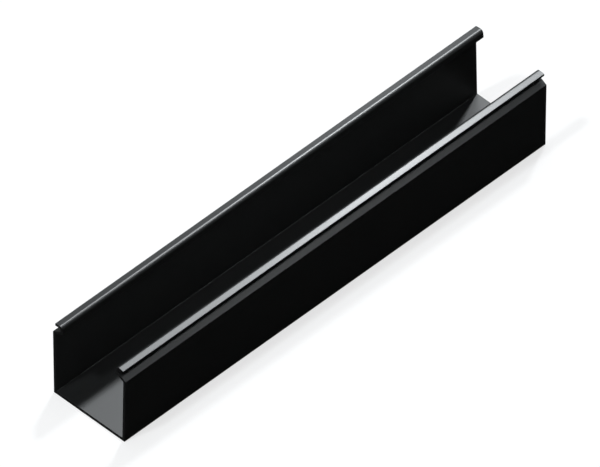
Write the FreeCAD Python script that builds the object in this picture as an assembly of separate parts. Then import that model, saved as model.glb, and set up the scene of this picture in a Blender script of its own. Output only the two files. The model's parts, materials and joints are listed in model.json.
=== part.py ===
# A solid-wall wiring duct: one open-topped channel of stiff plastic, extruded and sawn square to length.
# +X runs along the duct and +Z is up. The origin is the middle of the underside.
import FreeCAD, Part
import math
import os

from FreeCAD import Vector

# Overall sizes, in millimetres and degrees
length = 304.8
base_width = 51.2            # across the underside
height = 50.7                # from the underside to the top of the hooked edges

# Floor and walls
floor_thickness = 1.9
wall_thickness = 1.75
wall_splay = 1.0             # each wall leans outwards by this angle

# Hooked edge that a cover clips over: a neck going inwards, a short upstand and a lip going back outwards
neck_rise = 30.0             # angle of the neck above level; it is as thick as the wall
neck_length = 6.4            # from the shoulder to the upstand, along the upper face
upstand_lean = 6.5           # angle at which the upstand leans outwards
upstand_height = 2.35        # from the neck to the lip, along the outer face
lip_fall = 6.3               # angle at which the lip drops outwards
lip_length = 3.55            # from the upstand to the lip's edge, along the lower face
lip_thickness = 1.6          # of the upstand and the lip alike

# Corners
edge_radius = 0.3            # outer corners of the wall and the lip's edge
floor_fillet = 0.3           # where the walls rise from the floor
shoulder_fillet = 0.5        # inside the shoulder
nose_radius = 2.05           # from the upstand over into the lip
heel_radius = 0.7            # from the neck up into the upstand
hook_fillet = 0.4            # between the neck and the upstand, and under the lip

# Directions of travel round one wall, from level outwards (0 degrees) through upright (90)
wall_angle = 90 - wall_splay
neck_angle = 180 - neck_rise
upstand_angle = 90 - upstand_lean
lip_angle = -lip_fall


def heading(degrees):
    """Unit vector in the section plane, which is the YZ plane."""
    angle = math.radians(degrees)
    return Vector(0, math.cos(angle), math.sin(angle))


def beside(point, angle, distance):
    """A point moved square to its direction of travel, to the left: inwards on the wall, up on the lip."""
    return point + heading(angle + 90) * distance


def crossing(point_a, angle_a, point_b, angle_b):
    """The point where two lines of the section meet, each given by a point and its angle."""
    along, across = heading(angle_a), heading(angle_b + 90)
    return point_a + along * ((point_b - point_a).dot(across) / along.dot(across))


def hook_corners(shoulder):
    """Named corners of the neck, upstand and lip, outer side first, each with the radius that rounds it."""
    under_neck = shoulder + heading(neck_angle) * neck_length
    under_lip = under_neck + heading(upstand_angle) * upstand_height
    lip_edge = under_lip + heading(lip_angle) * lip_length

    neck_inside = beside(shoulder, neck_angle, wall_thickness)
    upstand_inside = beside(under_lip, upstand_angle, lip_thickness)
    lip_top = beside(lip_edge, lip_angle, lip_thickness)
    return {
        "under_neck": (under_neck, hook_fillet),
        "under_lip": (under_lip, hook_fillet),
        "lip_edge": (lip_edge, edge_radius),
        "lip_top": (lip_top, edge_radius),
        "nose": (crossing(upstand_inside, upstand_angle, lip_top, lip_angle), nose_radius),
        "heel": (crossing(neck_inside, neck_angle, upstand_inside, upstand_angle), heel_radius),
    }


def top_of(hook):
    """Height of the nose's highest point, which is straight above the centre of its arc."""
    nose, radius = hook["nose"]
    upstand_middle = beside(nose, upstand_angle, -radius)
    lip_middle = beside(nose, lip_angle, -radius)
    arc_centre = crossing(upstand_middle, upstand_angle, lip_middle, lip_angle)
    return arc_centre.z + radius


def wall_corners():
    """Corners of the +Y half of the section, outer side first, each with the radius that rounds it."""
    shoulder_height = height - top_of(hook_corners(Vector(0, 0, 0)))
    foot = Vector(0, base_width / 2, 0)
    shoulder = crossing(foot, wall_angle, Vector(0, 0, shoulder_height), 0)

    floor_top = Vector(0, 0, floor_thickness)
    wall_inside = beside(foot, wall_angle, wall_thickness)
    neck_inside = beside(shoulder, neck_angle, wall_thickness)
    return [
        (foot, edge_radius),
        (shoulder, edge_radius),
        *hook_corners(shoulder).values(),
        (crossing(wall_inside, wall_angle, neck_inside, neck_angle), shoulder_fillet),
        (crossing(wall_inside, wall_angle, floor_top, 0), floor_fillet),
    ]


def rounded_wire(corners):
    """Closed wire through the corners: straight runs joined by an arc of each corner's own radius."""
    arcs = []
    for index, (corner, radius) in enumerate(corners):
        back = (corners[index - 1][0] - corner).normalize()
        onward = (corners[(index + 1) % len(corners)][0] - corner).normalize()
        half_turn = (math.pi - back.getAngle(onward)) / 2
        inward = (back + onward).normalize()
        reach = radius * math.tan(half_turn)
        middle = corner + inward * (radius / math.cos(half_turn) - radius)
        arcs.append((corner + back * reach, middle, corner + onward * reach))
    edges = []
    for index, (start, middle, end) in enumerate(arcs):
        edges.append(Part.makeLine(arcs[index - 1][2], start))
        edges.append(Part.Arc(start, middle, end).toShape())
    return Part.Wire(edges)


def duct_channel():
    """The section, mirrored about the middle of the floor and drawn out along the duct."""
    half = wall_corners()
    mirrored = [(Vector(0, -corner.y, corner.z), radius) for corner, radius in reversed(half)]
    section = Part.Face(rounded_wire(half + mirrored))
    section.translate(Vector(-length / 2, 0, 0))
    return section.extrude(Vector(length, 0, 0))


parts = {
    "duct_channel": duct_channel(),
}

os.makedirs("parts", exist_ok=True)
for name, shape in parts.items():
    box = shape.BoundBox
    print(f"{name}: {box.XLength:.2f} x {box.YLength:.2f} x {box.ZLength:.2f} mm, {shape.Volume / 1000:.2f} cm3")
    shape.exportStep(f"parts/{name}.step")
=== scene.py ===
# A black PVC wiring duct on a pale studio floor, in parallel projection from above its near right corner.
# Metres throughout: +X runs along the duct, +Z is up, and the origin is the middle of the underside.
import json
import math

import bpy
import numpy as np
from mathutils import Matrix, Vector

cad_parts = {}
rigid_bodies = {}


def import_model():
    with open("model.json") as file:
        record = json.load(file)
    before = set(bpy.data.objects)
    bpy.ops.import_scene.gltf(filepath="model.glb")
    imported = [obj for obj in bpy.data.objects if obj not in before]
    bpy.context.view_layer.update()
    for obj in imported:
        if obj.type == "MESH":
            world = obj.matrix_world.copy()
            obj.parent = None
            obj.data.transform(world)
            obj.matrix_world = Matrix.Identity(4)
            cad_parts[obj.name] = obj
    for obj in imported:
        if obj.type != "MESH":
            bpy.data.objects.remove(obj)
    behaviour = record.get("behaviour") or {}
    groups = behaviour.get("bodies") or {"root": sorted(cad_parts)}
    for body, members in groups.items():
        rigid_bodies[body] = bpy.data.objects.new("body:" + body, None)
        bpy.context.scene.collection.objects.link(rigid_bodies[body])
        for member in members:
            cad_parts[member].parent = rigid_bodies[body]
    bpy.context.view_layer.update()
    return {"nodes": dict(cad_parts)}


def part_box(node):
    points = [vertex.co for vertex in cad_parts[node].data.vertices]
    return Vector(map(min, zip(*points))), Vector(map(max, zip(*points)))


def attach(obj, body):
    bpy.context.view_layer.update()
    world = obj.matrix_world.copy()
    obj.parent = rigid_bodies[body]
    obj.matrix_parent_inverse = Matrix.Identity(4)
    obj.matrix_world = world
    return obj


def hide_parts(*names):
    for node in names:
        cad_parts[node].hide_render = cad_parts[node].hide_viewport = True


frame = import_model()
print("frame loaded:", sorted(frame["nodes"]))


# Camera: a parallel view down on the near end

camera = {
    "azimuth": 315,                     # degrees: the camera stands off the near right corner
    "elevation": 45,                    # degrees above the horizon
    "frameWidth": 0.30717,              # metres across the picture
    "picture": (600, 467),              # pixels
    "originPixel": (299.74, 268.22),    # where the middle of the underside shows
    "distance": 1.5,
}


# Viewing axes for an azimuth a and an elevation e: back = (sin a cos e, -cos a cos e, sin e),
# right = (cos a, sin a, 0), and up is square to both.
def viewAxes(azimuth, elevation):
    a, e = math.radians(azimuth), math.radians(elevation)
    back = Vector((math.sin(a) * math.cos(e), -math.cos(a) * math.cos(e), math.sin(e)))
    right = Vector((math.cos(a), math.sin(a), 0))
    return back, right, back.cross(right)


def makeCamera(look):
    back, right, up = viewAxes(look["azimuth"], look["elevation"])
    metresPerPixel = look["frameWidth"] / look["picture"][0]
    toRight = (look["picture"][0] / 2 - look["originPixel"][0]) * metresPerPixel
    toTop = (look["originPixel"][1] - look["picture"][1] / 2) * metresPerPixel
    made = bpy.data.objects.new("camera", bpy.data.cameras.new("camera"))
    made.data.type = "ORTHO"
    made.data.ortho_scale = look["frameWidth"]
    made.location = right * toRight + up * toTop + back * look["distance"]
    made.rotation_mode = "QUATERNION"
    made.rotation_quaternion = (-back).to_track_quat("-Z", "Y")
    bpy.context.scene.collection.objects.link(made)
    bpy.context.scene.camera = made


makeCamera(camera)
print("camera placed")


# The duct's section, rounded at every corner

duct = {
    "baseWidth": 0.0512,                # across the underside
    "floorThickness": 0.0019,
    "wallThickness": 0.00175,
    "wallSplay": 1.0,                   # degrees that each wall leans outwards
    "neckRise": 30.0,                   # degrees that the neck rises inwards
    "neckLength": 0.0064,
    "upstandLean": 6.5,                 # degrees that the upstand leans outwards
    "upstandHeight": 0.00235,
    "lipFall": 6.3,                     # degrees that the lip drops outwards
    "lipLength": 0.00355,
    "lipThickness": 0.0016,
    "edgeRadius": 0.0003,
    "floorFillet": 0.0003,
    "shoulderFillet": 0.0005,
    "noseRadius": 0.00205,
    "heelRadius": 0.0007,
    "hookFillet": 0.0004,
    "arcSteps": 10,                     # faces round each corner of the section
    "sawnEase": 0.0001,                 # how far the saw cuts' edges are eased
    "easeSteps": 3,
    "plainStations": 7,                 # rings between the two cuts
}


# Unit vector in the section plane at an angle a: (cos a, sin a), as (y, z).
def heading(degrees):
    return np.array([math.cos(math.radians(degrees)), math.sin(math.radians(degrees))])


# A point moved square to its direction of travel, to the left.
def beside(point, degrees, distance):
    return point + heading(degrees + 90) * distance


# Where the line from p at angle a meets the line from q at angle b: p + d t, with d along the first
# line, n square to the second and t = ((q - p) . n) / (d . n).
def crossing(p, a, q, b):
    d, n = heading(a), heading(b + 90)
    return p + d * (((q - p) @ n) / (d @ n))


# Corners of the +Y wall and its hooked edge, from the foot to the lip: (y, z, radius) rows of the
# outer side and, facing them one to one, of the inner side.
def wallCorners(size, height):
    wall, neck = 90 - size["wallSplay"], 180 - size["neckRise"]
    upstand, lip = 90 - size["upstandLean"], -size["lipFall"]
    shoulder = np.zeros(2)
    underNeck = shoulder + heading(neck) * size["neckLength"]
    underLip = underNeck + heading(upstand) * size["upstandHeight"]
    lipEdge = underLip + heading(lip) * size["lipLength"]
    lipTop = beside(lipEdge, lip, size["lipThickness"])
    neckInside = beside(shoulder, neck, size["wallThickness"])
    upstandInside = beside(underLip, upstand, size["lipThickness"])
    nose = crossing(upstandInside, upstand, lipTop, lip)
    heel = crossing(neckInside, neck, upstandInside, upstand)

    # the nose's arc is the highest place, so its top sets how high the shoulder sits
    reach = -size["noseRadius"]
    arcCentre = crossing(beside(nose, upstand, reach), upstand, beside(nose, lip, reach), lip)
    shoulderHeight = height - (arcCentre[1] + size["noseRadius"])
    foot = np.array([size["baseWidth"] / 2, 0])
    lift = crossing(foot, wall, np.array([0, shoulderHeight]), 0)

    wallInside = beside(foot, wall, size["wallThickness"])
    floorCorner = crossing(wallInside, wall, np.array([0, size["floorThickness"]]), 0)
    shoulderInside = crossing(wallInside, wall, neckInside + lift, neck)
    outer = [
        (*foot, size["edgeRadius"]),
        (*(shoulder + lift), size["edgeRadius"]),
        (*(underNeck + lift), size["hookFillet"]),
        (*(underLip + lift), size["hookFillet"]),
        (*(lipEdge + lift), size["edgeRadius"]),
    ]
    inner = [
        (*floorCorner, size["floorFillet"]),
        (*shoulderInside, size["shoulderFillet"]),
        (*(heel + lift), size["heelRadius"]),
        (*(nose + lift), size["noseRadius"]),
        (*(lipTop + lift), size["edgeRadius"]),
    ]
    return np.array(outer), np.array(inner)


# A closed outline with an arc at each corner. The arc's centre lies on the corner's bisector, at
# r / cos(turn / 2), and its points are centre + r n, or centre - r n in a hollow corner, with n the
# outward normal swept through the turn.
def roundedOutline(corners, steps):
    point, radius = corners[:, :2], corners[:, 2]
    leaving = np.roll(point, -1, axis=0) - point
    leaving /= np.linalg.norm(leaving, axis=1, keepdims=True)
    arriving = np.roll(leaving, 1, axis=0)
    across = arriving[:, 0] * leaving[:, 1] - arriving[:, 1] * leaving[:, 0]
    turn = np.arctan2(across, (arriving * leaving).sum(axis=1))
    bisector = leaving - arriving
    bisector /= np.linalg.norm(bisector, axis=1, keepdims=True)
    centre = point + bisector * (radius / np.cos(turn / 2))[:, None]
    firstNormal = np.arctan2(-arriving[:, 0], arriving[:, 1])
    angle = firstNormal[:, None] + turn[:, None] * np.linspace(0, 1, steps + 1)
    normals = np.stack([np.cos(angle), np.sin(angle)], axis=-1)
    outline = centre[:, None] + normals * (np.sign(turn) * radius)[:, None, None]
    return outline.reshape(-1, 2), normals.reshape(-1, 2)


# Stations along the duct: at each cut a quarter round of radius r, x = end - r (1 - sin a) with the
# outline drawn in by r (1 - cos a), and plain stations in between. Gives x, the drawing in and the
# lean a of the normals.
def stationsAlong(size, halfLength):
    ease = size["sawnEase"]
    lean = np.linspace(0, math.pi / 2, size["easeSteps"] + 1)
    run = halfLength - ease * (1 - np.sin(lean))
    plain = np.linspace(-run[0], run[0], size["plainStations"] + 2)[1:-1]
    x = np.concatenate([-run[::-1], plain, run])
    lean = np.concatenate([-lean[::-1], np.zeros_like(plain), lean])
    return x, ease * (1 - np.cos(lean)), lean


# Quads over a grid of stations by outline points, then a strip at each cut that joins every outer
# point to the inner one facing it. Gives the vertex numbers and how many quads are long faces.
def ductQuads(stationCount, pointCount):
    station, point = np.meshgrid(np.arange(stationCount - 1), np.arange(pointCount), indexing="ij")
    onward = (point + 1) % pointCount
    a, b = station * pointCount, (station + 1) * pointCount
    longFaces = np.stack([a + point, a + onward, b + onward, b + point], axis=-1).reshape(-1, 4)
    k = np.arange(pointCount // 2 - 1)
    farCut = np.stack([k, k + 1, pointCount - 2 - k, pointCount - 1 - k], axis=-1)
    nearCut = farCut[:, ::-1]
    return np.concatenate([longFaces, nearCut, farCut + (stationCount - 1) * pointCount]), len(longFaces)


# The whole duct: vertex (j, i) is (x_j, outline_i - normal_i * drawnIn_j), the outline carried along X.
def makeDuct(size, low, high):
    outer, inner = wallCorners(size, high[2] - low[2])
    mirror = np.array([-1, 1, 1])
    corners = np.concatenate([(outer * mirror)[::-1], outer, inner[::-1], inner * mirror])
    outline, normals = roundedOutline(corners, size["arcSteps"])
    x, drawnIn, lean = stationsAlong(size, (high[0] - low[0]) / 2)

    section = outline[None] - normals[None] * drawnIn[:, None, None]
    oneEach = section.shape[:2] + (1,)    # the shape of one number for every vertex
    place = np.concatenate([np.broadcast_to(x[:, None, None], oneEach), section], axis=2)
    facing = np.concatenate([
        np.broadcast_to(np.sin(lean)[:, None, None], oneEach),
        normals[None] * np.cos(lean)[:, None, None],
    ], axis=2)
    quads, longCount = ductQuads(len(x), len(outline))

    mesh = bpy.data.meshes.new("duct")
    mesh.vertices.add(place.shape[0] * place.shape[1])
    mesh.vertices.foreach_set("co", place.astype(np.float32).ravel())
    mesh.loops.add(quads.size)
    mesh.loops.foreach_set("vertex_index", quads.astype(np.int32).ravel())
    mesh.polygons.add(len(quads))
    mesh.polygons.foreach_set("loop_start", np.arange(0, quads.size, quads.shape[1], dtype=np.int32))
    mesh.polygons.foreach_set("use_smooth", np.ones(len(quads), dtype=bool))
    isCut = np.arange(len(quads)) >= longCount
    mesh.polygons.foreach_set("material_index", isCut.astype(np.int32))
    mesh.update(calc_edges=True)

    # the map: along the duct and round the section on the long faces, flat on the cuts
    step = np.linalg.norm(np.roll(outline, -1, axis=0) - outline, axis=1)
    girth = np.concatenate([[0], np.cumsum(step)])
    point = quads % len(outline)
    closing = (point == 0) & (point.max(axis=1, keepdims=True) == len(outline) - 1)
    girthThere = girth[np.where(closing, len(outline), point)]
    placeThere = place.reshape(-1, 3)[quads]
    alongAndRound = np.stack([placeThere[..., 0], girthThere], axis=-1)
    uv = np.where(isCut[:, None, None], placeThere[..., 1:], alongAndRound)
    mesh.uv_layers.new(name="alongAndRound").data.foreach_set("uv", uv.astype(np.float32).ravel())

    mesh.normals_split_custom_set_from_vertices(facing.reshape(-1, 3))
    piece = bpy.data.objects.new("duct", mesh)
    bpy.context.scene.collection.objects.link(piece)
    return piece


low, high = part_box("duct_channel")
ductPiece = makeDuct(duct, low, high)
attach(ductPiece, "root")
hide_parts("duct_channel")
print("duct drawn:", len(ductPiece.data.polygons), "faces")


# Materials: drawn PVC on the long faces, sawn PVC on the cuts

pvc = {
    "colour": (0.0022, 0.0030, 0.0028, 1),
    "roughness": 0.45,
    "roughnessSpread": 0.02,
    "ior": 1.54,
    "specularLevel": 0.8,
    "lineSpacing": 0.0004,              # of the die's drawing lines
    "lineStretch": 0.004,               # how much slower they change along the duct than across it
    "lineDepth": 0.0000005,
    "sawnRoughness": 0.55,
    "sawSpacing": 0.0005,               # of the marks that the blade's teeth leave
    "sawStretch": 0.08,                 # how much slower they change across the duct than upwards
    "sawDepth": 0.000006,
    "noiseDetail": 2.0,
    "noiseRange": (0.25, 0.75),         # the noise's usual span, which is spread over the roughness
}


def addNode(tree, kind, values):
    node = tree.nodes.new(kind)
    for name, value in values.items():
        node.inputs[name].default_value = value
    return node


# Noise read on Object coordinates that were stretched along one axis, so that it runs in lines.
def linesAlong(tree, scale, detail):
    coordinates = tree.nodes.new("ShaderNodeTexCoord")
    mapping = addNode(tree, "ShaderNodeMapping", {"Scale": scale})
    noise = addNode(tree, "ShaderNodeTexNoise", {"Scale": 1.0, "Detail": detail})
    tree.links.new(coordinates.outputs["Object"], mapping.inputs["Vector"])
    tree.links.new(mapping.outputs["Vector"], noise.inputs["Vector"])
    return noise


# A plastic whose lines vary both its gloss and, as a shallow bump, its height.
def linedPlastic(name, look, roughness, scale, depth):
    material = bpy.data.materials.new(name)
    material.use_nodes = True
    tree = material.node_tree
    shader = tree.nodes["Principled BSDF"]
    shader.inputs["Base Color"].default_value = look["colour"]
    shader.inputs["IOR"].default_value = look["ior"]
    shader.inputs["Specular IOR Level"].default_value = look["specularLevel"]
    noise = linesAlong(tree, scale, look["noiseDetail"])
    gloss = addNode(tree, "ShaderNodeMapRange", {
        "From Min": look["noiseRange"][0],
        "From Max": look["noiseRange"][1],
        "To Min": roughness - look["roughnessSpread"],
        "To Max": roughness + look["roughnessSpread"],
    })
    bump = addNode(tree, "ShaderNodeBump", {"Strength": 1.0, "Distance": depth})
    tree.links.new(noise.outputs["Fac"], gloss.inputs["Value"])
    tree.links.new(gloss.outputs["Result"], shader.inputs["Roughness"])
    tree.links.new(noise.outputs["Fac"], bump.inputs["Height"])
    tree.links.new(bump.outputs["Normal"], shader.inputs["Normal"])
    return material


linesPerMetre = 1 / pvc["lineSpacing"]
drawnScale = (linesPerMetre * pvc["lineStretch"], linesPerMetre, linesPerMetre)
drawnPvc = linedPlastic("drawnPvc", pvc, pvc["roughness"], drawnScale, pvc["lineDepth"])
marksPerMetre = 1 / pvc["sawSpacing"]
sawnScale = (marksPerMetre, marksPerMetre * pvc["sawStretch"], marksPerMetre)
sawnPvc = linedPlastic("sawnPvc", pvc, pvc["sawnRoughness"], sawnScale, pvc["sawDepth"])
ductPiece.data.materials.append(drawnPvc)
ductPiece.data.materials.append(sawnPvc)
print("materials made")


# Floor, world and lamps

studio = {
    "floorSize": 8.0,
    "floorColour": (0.85, 0.85, 0.85, 1),
    "floorWhite": 0.7,                  # share of plain white in what the camera sees of the floor
    "horizonLevel": 0.20,               # share of the white horizon that gloss mirrors
    "domeLevel": 0.005,                 # the same far above or below it, and the world's soft light
    "horizonReach": (0.1, 0.45),        # sines of the elevation that the change between the two spans
    "aim": (0, 0, 0.03),                # where the lamps point, and from where their places are measured
    "tint": (0.96, 1.0, 1.03),
    "lamps": {                          # at level 1 a lamp makes a white card at the aim, square to it, white
        "keyLamp": {"direction": (0.499, 0.228, 0.836), "distance": 20.0, "halfAngle": 2.5, "level": 0.50},
        "endLamp": {"direction": (-0.477, 0.090, 0.874), "distance": 20.0, "halfAngle": 2.5, "level": 0.46},
        "nearLamp": {"direction": (0.568, 0.256, 0.782), "distance": 0.38, "halfAngle": 4.3, "level": 0.63},
        "neckLamp": {"direction": (0.43, -0.32, 0.845), "distance": 0.65, "halfAngle": 6.0, "level": 0.12},
        "floorLamp": {"direction": (0.1, 0.1, 1.0), "distance": 20.0, "halfAngle": 20.0, "level": 0.55},
    },
    "lights": {"nearLamp": "duct", "neckLamp": "duct", "floorLamp": "floor"},    # the others light both
}


# The share of white that a ray sees: all of it from the camera or through glass.
def whiteSeen(tree):
    path = tree.nodes.new("ShaderNodeLightPath")
    white = tree.nodes.new("ShaderNodeMath")
    white.operation = "MAXIMUM"
    tree.links.new(path.outputs["Is Camera Ray"], white.inputs[0])
    tree.links.new(path.outputs["Is Transmission Ray"], white.inputs[1])
    return white.outputs["Value"]


# The floor scatters light as pale paint does. What the camera sees of it is part paint, with the
# shadows, and part plain white.
def makeFloor(look):
    half = look["floorSize"] / 2
    corners = [(-half, -half, 0), (half, -half, 0), (half, half, 0), (-half, half, 0)]
    mesh = bpy.data.meshes.new("floor")
    mesh.from_pydata(corners, [], [(0, 1, 2, 3)])
    floor = bpy.data.objects.new("floor", mesh)
    bpy.context.scene.collection.objects.link(floor)
    paint = bpy.data.materials.new("floorPaint")
    paint.use_nodes = True
    tree = paint.node_tree
    shader = tree.nodes["Principled BSDF"]
    shader.inputs["Base Color"].default_value = look["floorColour"]
    shader.inputs["Roughness"].default_value = 1.0
    shader.inputs["Specular IOR Level"].default_value = 0.0
    white = addNode(tree, "ShaderNodeEmission", {"Strength": 1.0})
    share = tree.nodes.new("ShaderNodeMath")
    share.operation = "MULTIPLY"
    share.inputs[1].default_value = look["floorWhite"]
    mix = tree.nodes.new("ShaderNodeMixShader")
    tree.links.new(whiteSeen(tree), share.inputs[0])
    tree.links.new(share.outputs["Value"], mix.inputs["Fac"])
    tree.links.new(shader.outputs["BSDF"], mix.inputs[1])
    tree.links.new(white.outputs["Emission"], mix.inputs[2])
    tree.links.new(mix.outputs["Shader"], tree.nodes["Material Output"].inputs["Surface"])
    mesh.materials.append(paint)
    floor.visible_glossy = False


# A round lamp of power P lights what faces it at distance d with P / (pi d^2), and a white card
# turns white at pi, so P = pi^2 level d^2.
def addLamp(name, look, lamp):
    made = bpy.data.objects.new(name, bpy.data.lights.new(name, "AREA"))
    toLamp = Vector(lamp["direction"]).normalized()
    made.location = Vector(look["aim"]) + toLamp * lamp["distance"]
    made.rotation_mode = "QUATERNION"
    made.rotation_quaternion = (-toLamp).to_track_quat("-Z", "Y")
    made.data.shape = "DISK"
    made.data.size = 2 * lamp["distance"] * math.tan(math.radians(lamp["halfAngle"]))
    made.data.energy = math.pi ** 2 * lamp["level"] * lamp["distance"] ** 2
    made.data.color = look["tint"]
    bpy.context.scene.collection.objects.link(made)
    if name in look["lights"]:
        lit = bpy.data.collections.new(name + "Lights")
        lit.objects.link(bpy.data.objects[look["lights"][name]])
        made.light_linking.receiver_collection = lit


# The world: plain white to the camera and through glass, and otherwise dim. Gloss mirrors a paler
# band round the horizon, whose level falls as a smooth step of the elevation's sine.
def makeWorld(look):
    world = bpy.data.worlds.new("world")
    bpy.context.scene.world = world
    world.use_nodes = True
    tree = world.node_tree
    coordinates = tree.nodes.new("ShaderNodeTexCoord")
    parts = tree.nodes.new("ShaderNodeSeparateXYZ")
    steepness = tree.nodes.new("ShaderNodeMath")
    steepness.operation = "ABSOLUTE"
    band = addNode(tree, "ShaderNodeMapRange", {
        "From Min": look["horizonReach"][0],
        "From Max": look["horizonReach"][1],
        "To Min": look["horizonLevel"],
        "To Max": look["domeLevel"],
    })
    band.interpolation_type = "SMOOTHSTEP"
    path = tree.nodes.new("ShaderNodeLightPath")
    dim = addNode(tree, "ShaderNodeMapRange", {"To Min": look["domeLevel"]})
    strength = addNode(tree, "ShaderNodeMapRange", {"To Max": 1.0})
    background = tree.nodes["Background"]
    background.inputs["Color"].default_value = (1, 1, 1, 1)
    tree.links.new(coordinates.outputs["Generated"], parts.inputs["Vector"])
    tree.links.new(parts.outputs["Z"], steepness.inputs[0])
    tree.links.new(steepness.outputs["Value"], band.inputs["Value"])
    tree.links.new(path.outputs["Is Glossy Ray"], dim.inputs["Value"])
    tree.links.new(band.outputs["Result"], dim.inputs["To Max"])
    tree.links.new(whiteSeen(tree), strength.inputs["Value"])
    tree.links.new(dim.outputs["Result"], strength.inputs["To Min"])
    tree.links.new(strength.outputs["Result"], background.inputs["Strength"])


makeFloor(studio)
makeWorld(studio)
for name, lamp in studio["lamps"].items():
    addLamp(name, studio, lamp)
bpy.context.scene.view_settings.view_transform = "Standard"
print("studio set")
